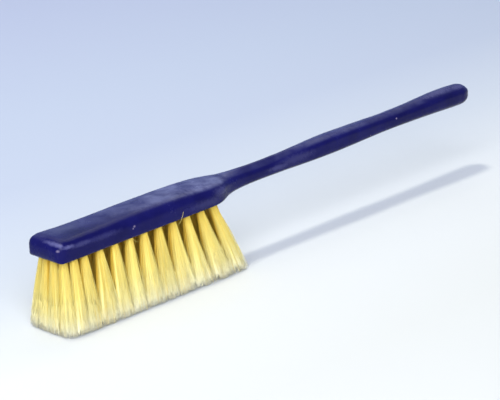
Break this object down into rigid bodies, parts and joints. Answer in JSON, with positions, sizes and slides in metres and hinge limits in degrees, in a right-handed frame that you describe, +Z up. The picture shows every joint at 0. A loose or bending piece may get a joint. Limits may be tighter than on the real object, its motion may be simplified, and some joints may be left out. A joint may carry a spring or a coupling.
{
  "type": "bee brush",
  "caption": "Long-handled hand brush with a flat painted bristle block and soft splayed bristle tufts for sweeping bees off a comb.",
  "frame": {"origin": "middle of the overall box in X and Y, on the trim plane of the bristle tips, where the brush stands", "axes": "+X along the handle away from the bristle block, +Y across the block, +Z up from the bristle tips to the block"},
  "size_m": [0.5002, 0.0532, 0.0821],
  "materials": {
    "paint": "wood under a thick glossy dark blue-violet paint",
    "bristle": "fine pale yellow filament, flagged tips, satin",
    "staple_wire": "drawn flat wire"
  },
  "bodies": {
    "root": {"brush_stock": "paint", "tuft_near_01": "bristle", "tuft_near_02": "bristle", "tuft_near_03": "bristle", "tuft_near_04": "bristle", "tuft_near_05": "bristle", "tuft_near_06": "bristle", "tuft_near_07": "bristle", "tuft_near_08": "bristle", "tuft_near_09": "bristle", "tuft_near_10": "bristle", "tuft_inner_near_01": "bristle", "tuft_inner_near_02": "bristle", "tuft_inner_near_03": "bristle", "tuft_inner_near_04": "bristle", "tuft_inner_near_05": "bristle", "tuft_inner_near_06": "bristle", "tuft_inner_near_07": "bristle", "tuft_inner_near_08": "bristle", "tuft_inner_near_09": "bristle", "tuft_inner_near_10": "bristle", "tuft_inner_near_11": "bristle", "tuft_front_near_01": "bristle", "tuft_front_near_02": "bristle", "tuft_front_near_03": "bristle", "tuft_far_01": "bristle", "tuft_far_02": "bristle", "tuft_far_03": "bristle", "tuft_far_04": "bristle", "tuft_far_05": "bristle", "tuft_far_06": "bristle", "tuft_far_07": "bristle", "tuft_far_08": "bristle", "tuft_far_09": "bristle", "tuft_far_10": "bristle", "tuft_inner_far_01": "bristle", "tuft_inner_far_02": "bristle", "tuft_inner_far_03": "bristle", "tuft_inner_far_04": "bristle", "tuft_inner_far_05": "bristle", "tuft_inner_far_06": "bristle", "tuft_inner_far_07": "bristle", "tuft_inner_far_08": "bristle", "tuft_inner_far_09": "bristle", "tuft_inner_far_10": "bristle", "tuft_inner_far_11": "bristle", "tuft_front_far_01": "bristle", "tuft_front_far_02": "bristle", "tuft_front_far_03": "bristle", "tuft_staples": "staple_wire"}
  },
  "joints": []
}
